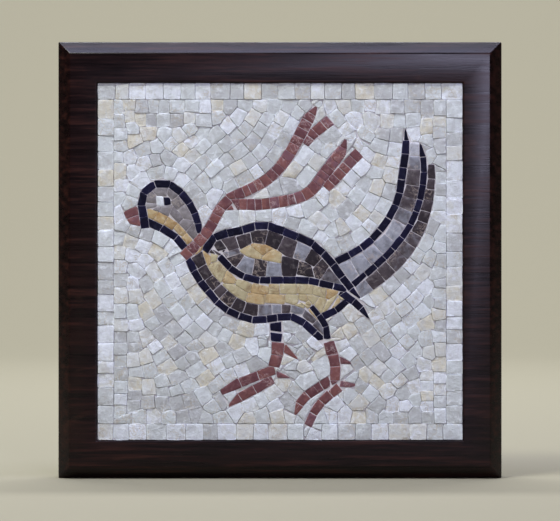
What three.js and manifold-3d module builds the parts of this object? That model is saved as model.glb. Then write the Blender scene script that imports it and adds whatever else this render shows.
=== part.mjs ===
// A stone mosaic of a bird with ribbons at its neck, set in the recess of a dark wooden board.
// Millimetres. X runs to the right, Z up, and the picture faces -Y.
// The origin is the middle of the board's flat back, which lies against the wall.

import * as THREE from 'three'
import * as BufferGeometryUtils from 'three/addons/utils/BufferGeometryUtils.js'
import Module from 'manifold-3d'

const wasm = await Module()
wasm.setup()

// The board: one piece of wood with bevelled front edges and a square recess.
const boardWidth = 245
const boardHeight = 241
const boardThickness = 20
const bevelWidth = 6.7 // how far the front bevel reaches in over the face
const bevelDepth = 6 // how far it reaches back down the edge
const backArris = 1 // the small break on the back edges
const recessWidth = 201.5
const recessHeight = 197
const recessDepth = 9.5
const recessDrop = 0.9 // the recess sits a little low, so the top rail is the widest

// What lies in the recess.
const mortarThickness = 2.5
const stoneSetback = 1.2 // stone faces lie this far behind the face of the board
const joint = 0.3 // clear width between neighbouring solids
const borderWidth = 8.8 // height of the straight row along each side of the recess
const borderStoneLength = 10.3
const borderJointWidth = 0.5
const borderJointDepth = 2
const spineStep = 4.2 // longest straight stretch along a curved edge
const tipLength = 7.5 // a pointed end narrows over this length
const tipWidth = 0.5
const sharpestCorner = 0.4 // keeps a widened point from running far out

// Depths along Y.
const boardFront = -boardThickness
const recessFloor = boardFront + recessDepth
const stoneBack = recessFloor - mortarThickness
const stoneFront = boardFront + stoneSetback
const stoneThickness = stoneBack - stoneFront

const stoneMaterials = {
  white: new THREE.MeshStandardMaterial({ color: 0xd3d6d2, roughness: 0.62 }),
  black: new THREE.MeshStandardMaterial({ color: 0x14142a, roughness: 0.5 }),
  brown: new THREE.MeshStandardMaterial({ color: 0x4c3c40, roughness: 0.6 }),
  grey: new THREE.MeshStandardMaterial({ color: 0x8e8880, roughness: 0.62 }),
  ochre: new THREE.MeshStandardMaterial({ color: 0xc2a470, roughness: 0.66 }),
  red: new THREE.MeshStandardMaterial({ color: 0x7c4544, roughness: 0.62 }),
}
const woodMaterial = new THREE.MeshStandardMaterial({ color: 0x2a1815, roughness: 0.35 })
const mortarMaterial = new THREE.MeshStandardMaterial({ color: 0xc9c6c2, roughness: 0.95 })

const panel = new THREE.Group()

function addPiece(name, geometry, material) {
  const mesh = new THREE.Mesh(geometry, material)
  mesh.name = name
  panel.add(mesh)
}

// A closed geometry as a solid that can be cut and joined, and back again.
function solidOf(geometry) {
  const bare = geometry.clone()
  bare.deleteAttribute('normal')
  bare.deleteAttribute('uv')
  const merged = BufferGeometryUtils.mergeVertices(bare, 1e-4)
  return new wasm.Manifold(
    new wasm.Mesh({
      numProp: 3,
      vertProperties: new Float32Array(merged.attributes.position.array),
      triVerts: new Uint32Array(merged.index.array),
    }),
  )
}

function geometryOf(solid) {
  const mesh = solid.getMesh()
  const geometry = new THREE.BufferGeometry()
  geometry.setAttribute('position', new THREE.BufferAttribute(new Float32Array(mesh.vertProperties), 3))
  geometry.setIndex(new THREE.BufferAttribute(new Uint32Array(mesh.triVerts), 1))
  return geometry
}

// A closed outline drawn in the plane of the picture (x, z), as stones of one thickness.
// deeper makes a cutter that runs through both faces.
function slab(outline, deeper = 0) {
  const geometry = new THREE.ExtrudeGeometry(new THREE.Shape(outline), {
    depth: stoneThickness + 2 * deeper,
    bevelEnabled: false,
  })
  geometry.rotateX(Math.PI / 2)
  geometry.translate(0, stoneBack + deeper, 0)
  return geometry
}

// The same outline, wider by one joint all round.
function widened(outline) {
  const turn = THREE.ShapeUtils.isClockWise(outline) ? -1 : 1
  return outline.map((corner, i) => {
    const before = outline[(i + outline.length - 1) % outline.length]
    const after = outline[(i + 1) % outline.length]
    const edgeIn = corner.clone().sub(before).normalize()
    const edgeOut = after.clone().sub(corner).normalize()
    const outward = edgeIn.add(edgeOut).normalize()
    outward.set(outward.y * turn, -outward.x * turn)
    const spread = Math.max(sharpestCorner, Math.abs(outward.dot(new THREE.Vector2(edgeOut.y, -edgeOut.x))))
    return corner.clone().addScaledVector(outward, joint / spread)
  })
}

// ---- the lines of stones: a spline down the middle, and the width at each end ----

const lines = {
  neck_ribbon: {
    stone: 'red',
    width: [5.8, 5.6],
    spine: [[-53, 1.6], [-46.4, 8.2], [-40.6, 15], [-36.4, 21.6], [-33, 28.2], [-27.8, 33.4]],
  },
  lower_ribbon: {
    stone: 'red',
    width: [5.6, 6.4],
    pointed: true,
    spine: [[-32, 30], [-23, 30.6], [-16, 30.4], [-8, 30.8], [8, 33.6], [16.8, 37.8], [23.6, 46.6], [33, 58.8], [36.2, 66.8]],
  },
  upper_ribbon: {
    stone: 'red',
    width: [5.6, 6.6],
    pointed: true,
    spine: [[-29.4, 33.2], [-17.7, 38.4], [-8.5, 43.3], [-1, 50], [5.4, 58.8], [11, 69], [14.4, 75.6], [20.3, 84.8]],
  },
  upper_ribbon_fork: {
    stone: 'red',
    width: [5.4, 6.2],
    spine: [[13.4, 64.2], [19.6, 70.6], [27.8, 77]],
  },
  lower_ribbon_fork: {
    stone: 'red',
    width: [5.4, 6.2],
    spine: [[25.2, 39.6], [31.8, 46.2], [37, 52.2], [43.6, 59]],
  },
  head_outline: {
    stone: 'black',
    width: [4.4, 3.6],
    spine: [[-74.4, 17.4], [-75, 23], [-76.4, 31.5], [-73.4, 38.8], [-66.4, 42], [-59, 40.7], [-52.6, 34.8],
      [-47.4, 26.6], [-43.2, 12.6]],
  },
  throat_outline: {
    stone: 'black',
    width: [4, 3.9],
    spine: [[-74, 21.4], [-65.6, 17.5], [-58.6, 13.4], [-54.2, 8.8], [-50, 3.4]],
  },
  wing_top_outline: {
    stone: 'black',
    width: [4.2, 4],
    pointed: true,
    spine: [[-41.2, 4.4], [-37.9, 10.8], [-31.9, 13.9], [-21.4, 16.2], [-11.4, 18.9], [-4, 18], [6.4, 13.9],
      [15.4, 10.3], [22, 5.4], [29, -2.2], [36.4, -12.4], [44.6, -21.6]],
  },
  wing_bottom_outline: {
    stone: 'black',
    width: [3.6, 3.6],
    spine: [[-33.4, 2.2], [-28.6, -3.2], [-22.4, -7.8], [-14.4, -10.8], [-4, -11.2], [14, -11.3], [24.7, -13.4],
      [36.2, -16]],
  },
  wing_tip_stroke: {
    stone: 'black',
    width: [3.8, 3.8],
    pointed: true,
    spine: [[33.2, -17.6], [41.1, -23.4], [46, -28.3], [48.6, -32.6]],
  },
  thigh_stroke: {
    stone: 'black',
    width: [2.6, 3.8],
    spine: [[17.2, -25.4], [23.4, -33.4], [25.6, -38.4], [25.8, -43.6]],
  },
  rump_stroke: {
    stone: 'black',
    width: [3.2, 3.8],
    spine: [[37.4, -21.8], [31, -27.6], [22.4, -31.6]],
  },
  belly_outline: {
    stone: 'black',
    width: [3.8, 3.8],
    spine: [[-51.4, 2.6], [-46, -8.6], [-39.4, -17.4], [-33, -24.6], [-25.4, -29.6], [-14, -33.1], [-4, -32.1],
      [6, -31.4], [13.2, -34.8], [24.4, -45.2]],
  },
  tail_inner_line: {
    stone: 'black',
    width: [3.8, 4],
    pointed: true,
    spine: [[29, -1.6], [36.6, 1.8], [48.4, 9.4], [58.4, 20.8], [64.9, 34], [67.6, 49.5], [69.2, 62], [68.9, 71.8]],
  },
  tail_middle_line: {
    stone: 'black',
    width: [3.4, 3.4],
    pointed: true,
    spine: [[39, -14.6], [49.8, -5.8], [62.3, 6.4], [71.3, 18.6], [76.7, 32.2], [79, 45.8], [78.7, 55.6], [77.2, 64.2]],
  },
  tail_outer_band: {
    stone: 'brown',
    width: [9.6, 5.2],
    spine: [[42.2, -16.6], [53, -9.9], [63, -1.4], [71.6, 8.8], [77.2, 19.5], [80.9, 31.8], [82.5, 44.4], [82.1, 52.4]],
  },
  belly_row: {
    stone: 'brown',
    width: [7.4, 5.4],
    spine: [[-46.2, 3], [-42.4, -7], [-35.4, -15], [-26.4, -23], [-15.4, -27.4], [2, -27.6], [10, -28.8],
      [16.4, -33], [23.6, -41.8]],
  },
  throat_band: {
    stone: 'ochre',
    width: [7, 6],
    spine: [[-74, 25.2], [-64.6, 21.6], [-57.4, 16.8], [-49.6, 7.8]],
  },
  left_thigh: {
    stone: 'black',
    width: [7, 6.8],
    spine: [[-2.6, -33.6], [-2, -45]],
  },
  left_leg: {
    stone: 'red',
    width: [6.8, 6],
    spine: [[-1.2, -45.4], [-1.6, -52], [-3.6, -58.8]],
  },
  left_spur: {
    stone: 'red',
    width: [5, 4],
    pointed: true,
    spine: [[1.6, -48.6], [9.8, -54.6]],
  },
  left_upper_toe: {
    stone: 'red',
    width: [5.2, 4.8],
    pointed: true,
    spine: [[-3, -60.4], [-14.8, -64.8], [-27, -70], [-33.4, -74.6]],
  },
  left_lower_toe: {
    stone: 'red',
    width: [5.2, 4.8],
    pointed: true,
    spine: [[-4, -65.4], [-11.6, -70.2], [-20.6, -74.8], [-28.6, -80.8]],
  },
  left_back_toe: {
    stone: 'red',
    width: [4.6, 3.8],
    pointed: true,
    spine: [[-2.4, -63.2], [5.6, -64.8]],
  },
  right_leg: {
    stone: 'red',
    width: [6.4, 5],
    spine: [[26.4, -45.2], [29.4, -53.4], [30.4, -60.4], [30, -66.4]],
  },
  right_spur: {
    stone: 'red',
    width: [5.8, 4],
    pointed: true,
    spine: [[30.6, -54.6], [39.4, -57]],
  },
  right_upper_toe: {
    stone: 'red',
    width: [5.4, 5],
    pointed: true,
    spine: [[30, -65], [19.6, -71.4], [12.2, -77.2], [8, -86]],
  },
  right_lower_toe: {
    stone: 'red',
    width: [5.2, 4.4],
    spine: [[32.8, -70], [24.8, -76.4], [19.6, -82.4], [15.2, -91.4]],
  },
  right_back_toe: {
    stone: 'red',
    width: [4.8, 3.6],
    pointed: true,
    spine: [[33, -68.2], [42.4, -69.4]],
  },
}

const spineCurve = (line) => new THREE.SplineCurve(line.spine.map(([x, z]) => new THREE.Vector2(x, z)))

// The outline of a line of stones: its two edges, from sections evenly spaced along the spine.
function lineOutline(line) {
  const curve = spineCurve(line)
  const length = curve.getLength()
  const sections = Math.ceil(length / spineStep)
  const left = []
  const right = []
  for (let i = 0; i <= sections; i++) {
    const u = i / sections
    const along = curve.getTangentAt(u)
    const across = new THREE.Vector2(-along.y, along.x)
    let width = THREE.MathUtils.lerp(line.width[0], line.width[1], u)
    if (line.pointed) {
      const toTip = Math.min(1, ((1 - u) * length) / tipLength)
      width = THREE.MathUtils.lerp(tipWidth, width, toTip)
    }
    left.push(curve.getPointAt(u).addScaledVector(across, width / 2))
    right.push(curve.getPointAt(u).addScaledVector(across, -width / 2))
  }
  return [...right, ...left.reverse()]
}

// Part of a line's spine, from one share of its length to another, either way along it.
function stretch(line, from = 0, to = 1) {
  const curve = spineCurve(line)
  const steps = Math.ceil((curve.getLength() * Math.abs(to - from)) / spineStep)
  return Array.from({ length: steps + 1 }, (_, i) => curve.getPointAt(THREE.MathUtils.lerp(from, to, i / steps)))
}

// ---- the areas of stones: closed outlines whose edges run under the lines beside them ----

const corners = (...points) => points.map(([x, z]) => new THREE.Vector2(x, z))

const areas = {
  upper_beak: { stone: 'red', outline: corners([-86.5, 25.4], [-84.2, 22.8], [-76, 26], [-77, 28], [-80.8, 29.4]) },
  lower_beak: { stone: 'red', outline: corners([-84.4, 22.3], [-82.6, 19.8], [-75.6, 18.2], [-76, 25.4]) },
  eye_white: { stone: 'white', outline: corners([-68.4, 34.8], [-67.6, 29.5], [-64, 29.6], [-64.6, 35]) },
  pupil: { stone: 'black', outline: corners([-64.4, 34.3], [-63.6, 30], [-60.1, 30.4], [-60.8, 34.6]) },
  wing_lens: {
    stone: 'ochre',
    outline: corners([-22.8, 5], [-17, 1.4], [-9, 0], [0.4, -1.8], [1, 3.6], [-7.4, 8.2], [-14.6, 9.2]),
  },
  head_patch: {
    stone: 'grey',
    outline: [...stretch(lines.head_outline, 0.12, 1), ...stretch(lines.throat_band, 1, 0)],
  },
  belly_band: {
    stone: 'ochre',
    outline: [
      ...stretch(lines.wing_bottom_outline, 0, 0.94),
      ...stretch(lines.rump_stroke),
      ...stretch(lines.belly_row, 0.96, 0),
      ...stretch(lines.neck_ribbon, 0.1, 0.4),
      ...stretch(lines.wing_top_outline, 0.05, 0),
    ],
  },
  wing_patch: {
    stone: 'brown',
    outline: [...stretch(lines.wing_top_outline, 0, 0.88), ...stretch(lines.wing_bottom_outline, 1, 0)],
  },
  tail_inner_band: {
    stone: 'brown',
    outline: [...stretch(lines.tail_inner_line, 0, 0.93), ...stretch(lines.tail_middle_line, 1, 0)],
  },
}

// What is laid first cuts what is laid after it: lines, then areas, then the ground.
const cutterReach = 1
let laid = null

function lay(name, outline, stone) {
  const whole = solidOf(slab(outline))
  addPiece(name, geometryOf(laid ? whole.subtract(laid) : whole), stoneMaterials[stone])
  const taken = solidOf(slab(widened(outline), cutterReach))
  laid = laid ? laid.add(taken) : taken
}

for (const [name, line] of Object.entries(lines)) lay(name, lineOutline(line), line.stone)
for (const [name, area] of Object.entries(areas)) lay(name, area.outline, area.stone)

// ---- the ground inside the straight border ----

const recessBottom = -recessHeight / 2 - recessDrop
const fieldWidth = recessWidth - 2 * (borderWidth + 2 * joint)
const fieldHeight = recessHeight - 2 * (borderWidth + 2 * joint)
const field = new THREE.BoxGeometry(fieldWidth, stoneThickness, fieldHeight)
field.translate(0, (stoneBack + stoneFront) / 2, -recessDrop)
addPiece('ground_stones', geometryOf(solidOf(field).subtract(laid)), stoneMaterials.white)

// ---- the straight border rows: stones standing side by side, parted by narrow joints ----

function borderRow(length) {
  const count = Math.round(length / borderStoneLength)
  const pitch = length / count
  const profile = new THREE.Shape()
  profile.moveTo(0, 0)
  profile.lineTo(length, 0)
  for (let i = count; i > 0; i--) {
    const right = i * pitch - (i < count ? borderJointWidth / 2 : 0)
    const left = (i - 1) * pitch + (i > 1 ? borderJointWidth / 2 : 0)
    profile.lineTo(right, stoneThickness)
    profile.lineTo(left, stoneThickness)
    if (i > 1) {
      profile.lineTo(left, stoneThickness - borderJointDepth)
      profile.lineTo(left - borderJointWidth, stoneThickness - borderJointDepth)
    }
  }
  const row = new THREE.ExtrudeGeometry(profile, { depth: borderWidth, bevelEnabled: false })
  row.rotateX(Math.PI)
  row.translate(-length / 2, stoneBack, borderWidth / 2)
  return row
}

const longRow = recessWidth - 2 * joint
const shortRow = fieldHeight
const rowOffsetX = recessWidth / 2 - joint - borderWidth / 2
const rowOffsetZ = recessHeight / 2 - joint - borderWidth / 2
const borderRows = [
  ['border_row_top', borderRow(longRow), 0, rowOffsetZ, false],
  ['border_row_bottom', borderRow(longRow), 0, -rowOffsetZ, false],
  ['border_row_left', borderRow(shortRow), -rowOffsetX, 0, true],
  ['border_row_right', borderRow(shortRow), rowOffsetX, 0, true],
]
for (const [name, row, x, z, upright] of borderRows) {
  if (upright) row.rotateY(Math.PI / 2)
  row.translate(x, 0, z - recessDrop)
  addPiece(name, geometryOf(solidOf(row).subtract(laid)), stoneMaterials.white)
}

// ---- the mortar bed and the board ----

const mortar = new THREE.BoxGeometry(recessWidth - 2 * joint, mortarThickness, recessHeight - 2 * joint)
mortar.translate(0, recessFloor - mortarThickness / 2, -recessDrop)
addPiece('mortar_bed', mortar, mortarMaterial)

// Half of a board edge's profile, as (out from the middle, depth), mirrored to the whole one.
function boardProfile(width) {
  const half = width / 2
  const edge = [
    [half - backArris, 0],
    [half, -backArris],
    [half, boardFront + bevelDepth],
    [half - bevelWidth, boardFront],
  ]
  const mirrored = edge.map(([x, y]) => [-x, y]).reverse()
  return new THREE.Shape([...edge, ...mirrored].map(([x, y]) => new THREE.Vector2(x, y)))
}

// The profile across the width and the one across the height meet in mitred bevels.
function boardSlab(width, length) {
  const slabGeometry = new THREE.ExtrudeGeometry(boardProfile(width), { depth: length, bevelEnabled: false })
  slabGeometry.translate(0, 0, -length / 2)
  return slabGeometry
}

const acrossWidth = boardSlab(boardWidth, boardHeight)
const acrossHeight = boardSlab(boardHeight, boardWidth)
acrossHeight.rotateY(Math.PI / 2)
const recess = new THREE.BoxGeometry(recessWidth, recessDepth * 2, recessHeight)
recess.translate(0, boardFront, recessBottom + recessHeight / 2)
const board = solidOf(acrossWidth).intersect(solidOf(acrossHeight)).subtract(solidOf(recess))
addPiece('wooden_board', geometryOf(board), woodMaterial)

export default panel
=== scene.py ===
import math

import bmesh
import bpy
import numpy as np
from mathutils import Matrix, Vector


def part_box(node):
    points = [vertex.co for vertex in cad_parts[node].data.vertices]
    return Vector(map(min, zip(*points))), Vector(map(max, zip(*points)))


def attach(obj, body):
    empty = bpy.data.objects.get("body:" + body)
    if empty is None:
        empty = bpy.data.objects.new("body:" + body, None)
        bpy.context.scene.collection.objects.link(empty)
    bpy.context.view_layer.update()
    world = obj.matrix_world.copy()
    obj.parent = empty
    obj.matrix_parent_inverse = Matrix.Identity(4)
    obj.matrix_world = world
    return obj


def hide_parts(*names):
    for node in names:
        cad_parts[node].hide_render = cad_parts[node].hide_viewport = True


# A stone mosaic of a bird with ribbons at its neck, in a dark wooden board.
# Metres, as the frame is. X right, Z up, the picture faces -Y.

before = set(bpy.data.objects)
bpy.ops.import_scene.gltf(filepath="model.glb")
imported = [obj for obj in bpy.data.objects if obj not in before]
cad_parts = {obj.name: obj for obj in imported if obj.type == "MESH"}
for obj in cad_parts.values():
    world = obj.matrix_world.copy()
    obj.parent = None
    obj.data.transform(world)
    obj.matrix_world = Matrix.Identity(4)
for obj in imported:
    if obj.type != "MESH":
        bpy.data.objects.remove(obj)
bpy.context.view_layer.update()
mm = 0.001


view = {
    "distance": 1.25,       # from the face of the board
    "shownWidth": 0.308,    # width of the picture at the face of the board
    "sensor": 36,
    "rise": -0.25 * mm,     # of the camera over the middle of the board
}

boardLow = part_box("wooden_board")[0]


def placeCamera():
    camera = bpy.data.cameras.new("frontCamera")
    camera.sensor_width = view["sensor"]
    camera.lens = view["sensor"] * view["distance"] / view["shownWidth"]
    camera.clip_start = 0.05
    camera.clip_end = 60
    stand = bpy.data.objects.new("frontCamera", camera)
    stand.location = (0, boardLow.y - view["distance"], view["rise"])
    stand.rotation_euler = (math.radians(90), 0, 0)
    bpy.context.collection.objects.link(stand)
    bpy.context.scene.camera = stand


placeCamera()
print("camera placed")

# The stones are laid out on a flat grid of cells in the mortar bed: first every cell gets its bed,
# then its stone, and each stone gets a straight-sided outline round the cells it claimed.
layout = {
    "cell": 0.25 * mm,      # side of one layout cell
    "coarse": 2,            # row directions are worked out on cells this many times larger
    "seed": 11,
    "settling": 22,         # rounds in which the stones shuffle into place
    "borderSpacing": 2 * mm,    # between the points of the border that turn the ground stones
    "borderPull": 0.2,      # how much the border turns the ground stones, beside the figure's own edges
    "pullFade": 2.8,        # how fast an edge loses its hold with distance
    "gapFill": 5,           # cells that the gaps between beds may be wide
    "halfWidth": 4 * mm,    # half the width that a stone in a line reckons with
    "claimReach": 2.4,      # how far a stone may claim, as a multiple of half its side
    "tip": 0.8,             # share of half a stone's length beyond which it is the stone's end
    "shortContact": 1.1 * mm,   # stones that touch along less than this aren't cut to each other
    "jointSpread": (0.4, 1.5),  # narrowest and widest joint, as a share of the bed's own
    "mostHarm": 0.12,       # share of two stones that the straight side between them may give away
    "patching": 5,          # rounds in which chips are set into the bare spots
    "bareSpot": 0.8 * mm,   # half the width of a spot that gets a chip
    "cornerBreak": (0.12 * mm, 0.45 * mm),
    "edgeWander": 0.09 * mm,
    "farOut": 20 * mm,      # half the side of the square that a stone is cut from
    "longEdge": 3 * mm,     # edges over this length wander
    "smallest": 2 * mm * mm,    # stones under this area are left out
    "leastLeft": 0.45,      # share of its claim that a stone has to fill, else it is cut anew
    "mostOverlap": 0.25,    # share of a stone that may lie over a larger one before it is left out
}

bedLow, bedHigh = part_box("mortar_bed")
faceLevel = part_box("ground_stones")[0].y
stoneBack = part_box("ground_stones")[1].y
cell = layout["cell"]
columns = round((bedHigh.x - bedLow.x) / cell)
layers = round((bedHigh.z - bedLow.z) / cell)
chance = np.random.default_rng(layout["seed"])


# Each bed is one CAD node. "line" beds hold one stone across, laid along their length from the end
# nearest to the bed named in near. "rows" beds follow their edges in rows, and "single" beds are one stone.
# Shades are (up to this share of the bed, lowest, highest), and stoneKinds has the colours they stand for.
def lineBed(length, joint=0.26, wobble=0.2, near="wing_patch", shades=((1, 0.2, 0.8),)):
    return {"lay": "line", "length": length * mm, "joint": joint * mm, "wobble": wobble, "near": near,
            "shades": shades}


def rowBed(row, length, joint=0.3, wobble=0.2, around=None, shades=((1, 0.2, 0.8),)):
    return {"lay": "rows", "row": row * mm, "length": length * mm, "joint": joint * mm, "wobble": wobble,
            "around": around, "shades": shades}


def singleBed(joint=0.26, shades=((1, 0.2, 0.8),)):
    return {"lay": "single", "joint": joint * mm, "shades": shades}


marbleShades = ((1, 0.0, 1.0),)
groundForm = {"Edge break": 0.24 * mm, "Unevenness": 0.28 * mm, "Lean": 0.062, "Cleft": 0.34 * mm}
darkFeathers = ((0.74, 0.02, 0.42), (1, 0.5, 0.7))

picture = {
    "groundStones": {
        "slot": "white_marble",
        "form": groundForm,
        "beds": {
            "ground_stones": rowBed(7.1, 7.6, joint=0.14, wobble=0.26, around="figure", shades=marbleShades),
        },
    },
    "borderStones": {
        "slot": "white_marble",
        "form": groundForm,
        "beds": {
            "border_row_top": lineBed(9.2, joint=0.16, shades=marbleShades),
            "border_row_bottom": lineBed(9.6, joint=0.16, shades=marbleShades),
            "border_row_left": lineBed(9.0, joint=0.16, shades=marbleShades),
            "border_row_right": lineBed(8.8, joint=0.16, shades=marbleShades),
        },
    },
    "eyeStone": {"slot": "white_marble", "beds": {"eye_white": singleBed(shades=((1, 0.5, 0.6),))}},
    "outlineStones": {
        "slot": "black_stone",
        "beds": {
            "head_outline": lineBed(7.0),
            "throat_outline": lineBed(7.2),
            "wing_top_outline": lineBed(7.8),
            "wing_bottom_outline": lineBed(7.2),
            "wing_tip_stroke": lineBed(6.4),
            "thigh_stroke": lineBed(6.0),
            "rump_stroke": lineBed(6.0),
            "belly_outline": lineBed(7.0),
            "tail_inner_line": lineBed(7.4),
            "tail_middle_line": lineBed(7.2),
            "left_thigh": lineBed(5.6, joint=1.2, wobble=0.05),
            "pupil": singleBed(),
        },
    },
    "bellyFeatherStones": {
        "slot": "brown_stone",
        "beds": {
            "belly_row": lineBed(6.8, joint=0.34, near="neck_ribbon", shades=(
                (0.3, 0.12, 0.4), (0.55, 0.08, 0.35), (0.68, 0.55, 0.74), (1, 0.42, 0.6))),
        },
    },
    "wingFeatherStones": {
        "slot": "brown_stone",
        "beds": {"wing_patch": rowBed(7.2, 7.4, joint=0.34, shades=darkFeathers)},
    },
    "tailFeatherStones": {
        "slot": "brown_stone",
        "beds": {
            "tail_inner_band": lineBed(7.6, joint=0.34, shades=(
                (0.42, 0.66, 0.8), (0.55, 0.4, 0.6), (0.8, 0.34, 0.54), (0.9, 0.5, 0.62), (1, 0.84, 0.95))),
            "tail_outer_band": lineBed(7.0, joint=0.34, shades=(
                (0.1, 0.64, 0.74), (0.35, 0.3, 0.5), (0.52, 0.45, 0.62), (1, 0.08, 0.36))),
        },
    },
    "headStones": {
        "slot": "grey_stone",
        "beds": {"head_patch": rowBed(4.6, 5.2, joint=0.2, wobble=0.35)},
    },
    "ochreStones": {
        "slot": "ochre_stone",
        "beds": {
            "throat_band": lineBed(6.4, joint=0.12, near="upper_beak", shades=((1, 0.5, 1.0),)),
            "belly_band": rowBed(4.6, 7.6, joint=0.1, wobble=0.35, shades=((1, 0.0, 0.6),)),
            "wing_lens": rowBed(4.2, 6.4, joint=0.1, wobble=0.3, shades=((1, 0.25, 0.8),)),
        },
    },
    "ribbonStones": {
        "slot": "red_stone",
        "beds": {
            "neck_ribbon": lineBed(4.9, joint=0.24),
            "lower_ribbon": lineBed(4.1, joint=0.22),
            "upper_ribbon": lineBed(4.3, joint=0.22),
            "upper_ribbon_fork": lineBed(4.4, joint=0.24),
            "lower_ribbon_fork": lineBed(4.4, joint=0.24),
        },
    },
    "beakStones": {
        "slot": "red_stone",
        "beds": {"upper_beak": singleBed(), "lower_beak": singleBed()},
    },
    "legStones": {
        "slot": "red_stone",
        "beds": {
            "left_leg": lineBed(6.6),
            "left_spur": lineBed(9.0),
            "left_upper_toe": lineBed(10.2),
            "left_lower_toe": lineBed(9.6),
            "left_back_toe": lineBed(8.0),
            "right_leg": lineBed(7.2),
            "right_spur": lineBed(9.0),
            "right_upper_toe": lineBed(7.6),
            "right_lower_toe": lineBed(7.0),
            "right_back_toe": lineBed(9.0),
        },
    },
}

beds = {name: bed for piece in picture.values() for name, bed in piece["beds"].items()}
bedNames = list(beds)
plainBeds = [name for name in bedNames if name == "ground_stones" or name.startswith("border_row")]


def cellsIn(outline):
    # the block of cells round a convex outline, and which of them lie inside it
    flat = (np.array(outline) - (bedLow.x, bedLow.z)) / cell
    low = np.maximum(np.floor(flat.min(axis=0)).astype(int), 0)
    high = np.minimum(np.ceil(flat.max(axis=0)).astype(int) + 1, (columns, layers))
    x = np.arange(low[0], high[0]) + 0.5
    z = (np.arange(low[1], high[1]) + 0.5)[:, None]
    sides = np.array([(end[0] - start[0]) * (z - start[1]) - (end[1] - start[1]) * (x - start[0])
                      for start, end in zip(np.roll(flat, 1, axis=0), flat)])
    inside = (sides >= 0).all(axis=0) | (sides <= 0).all(axis=0)
    return (slice(low[1], high[1]), slice(low[0], high[0])), inside


def paintBed(ground, name, mark):
    # marks the cells behind the front faces of one CAD node
    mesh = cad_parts[name].data
    mesh.calc_loop_triangles()
    corners = np.array([vertex.co[:] for vertex in mesh.vertices])
    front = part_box(name)[0].y + 0.1 * mm
    for triangle in mesh.loop_triangles:
        points = corners[list(triangle.vertices)]
        if points[:, 1].max() <= front:
            block, inside = cellsIn(points[:, [0, 2]])
            ground[block][inside] = mark


def closeGaps(ground, rounds):
    # cells in the joints go to a bed beside them
    for _ in range(rounds):
        for axis, step in ((0, 1), (0, -1), (1, 1), (1, -1)):
            beside = np.roll(ground, step, axis)
            empty = ground < 0
            ground[empty] = beside[empty]


bedMap = np.full((layers, columns), -1)
for mark, name in enumerate(bedNames):
    paintBed(bedMap, name, mark)
closeGaps(bedMap, layout["gapFill"])
print("stone beds drawn:", len(bedNames), "beds,", int((bedMap < 0).sum()), "cells left over")


def depthInto(mask, step):
    # how far every cell of the mask lies from the nearest cell outside it
    reach = max(mask.shape)
    run = np.where(mask, float(reach), 0.0)
    for i in range(1, mask.shape[0]):
        run[i] = np.minimum(run[i], run[i - 1] + 1)
    for i in range(mask.shape[0] - 2, -1, -1):
        run[i] = np.minimum(run[i], run[i + 1] + 1)
    squared = run ** 2
    best = squared.copy()
    for shift in range(1, mask.shape[1]):
        if shift ** 2 > best.max():
            break
        best[:, shift:] = np.minimum(best[:, shift:], squared[:, :-shift] + shift ** 2)
        best[:, :-shift] = np.minimum(best[:, :-shift], squared[:, shift:] + shift ** 2)
    return np.sqrt(best) * step


def softened(field, rounds=6):
    for _ in range(rounds):
        padded = np.pad(field, 1, mode="edge")
        field = (padded[:-2, 1:-1] + padded[2:, 1:-1] + padded[1:-1, :-2] + padded[1:-1, 2:] + field) / 5
    return field


coarseStep = cell * layout["coarse"]
coarseMap = bedMap[::layout["coarse"], ::layout["coarse"]]


def spotOf(rows, cols):
    # the middle of coarse cells, in the picture's plane
    return np.stack([bedLow.x + (cols + 0.5) * coarseStep, bedLow.z + (rows + 0.5) * coarseStep], axis=-1)


def steppedOut(mask, start):
    # steps walked inside the mask from its start cells
    steps = np.full(mask.shape, -1)
    steps[start] = 0
    reached = start.copy()
    count = 0
    while True:
        count += 1
        grown = np.pad(reached, 1)
        spread = grown[:-2, 1:-1] | grown[2:, 1:-1] | grown[1:-1, :-2] | grown[1:-1, 2:] | reached
        if count % 2:
            spread |= grown[:-2, :-2] | grown[2:, 2:] | grown[:-2, 2:] | grown[2:, :-2]
        fresh = spread & mask & ~reached
        if not fresh.any():
            return steps
        steps[fresh] = count
        reached |= fresh


def farEnd(mask, steps):
    return mask & (steps >= steps.max() - 1)


def alongBed(name, bed):
    # one stone after another from one end of a line of stones to the other
    mask = coarseMap == bedNames.index(name)
    rows, cols = np.nonzero(mask)
    first = np.zeros_like(mask)
    first[rows[0], cols[0]] = True
    steps = steppedOut(mask, farEnd(mask, steppedOut(mask, first)))
    low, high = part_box(bed["near"])
    near = (low + high) / 2
    spots = spotOf(rows, cols)
    shares = steps[rows, cols] / max(1, steps.max())
    ends = [spots[shares < 0.1].mean(axis=0), spots[shares > 0.9].mean(axis=0)]
    if np.hypot(*(ends[0] - (near.x, near.z))) > np.hypot(*(ends[1] - (near.x, near.z))):
        shares = 1 - shares

    def middle(share, half):
        inside = np.abs(shares - share) <= half
        return spots[inside].mean(axis=0) if inside.any() else spots[np.argmin(np.abs(shares - share))]

    # the length of the bed, from slices through nine tenths of it
    slices = np.array([middle(share, 0.06) for share in np.linspace(0.05, 0.95, 13)])
    length = np.hypot(*np.diff(slices, axis=0).T).sum() / 0.9
    count = max(1, round(length / bed["length"]))
    lengths = 1 + bed["wobble"] * chance.uniform(-1, 1, count)
    joints = np.concatenate([[0], np.cumsum(lengths)]) / lengths.sum()
    stones = []
    for start, end in zip(joints[:-1], joints[1:]):
        share = (start + end) / 2
        half = (end - start) / 2
        here = middle(share, half * 0.5)
        before = middle(share - half, half * 0.6)
        after = middle(share + half, half * 0.6)
        angle = math.atan2(*(after - before)[::-1])
        stones.append((here[0], here[1], angle, half * length, layout["halfWidth"], share))
    return stones


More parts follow.
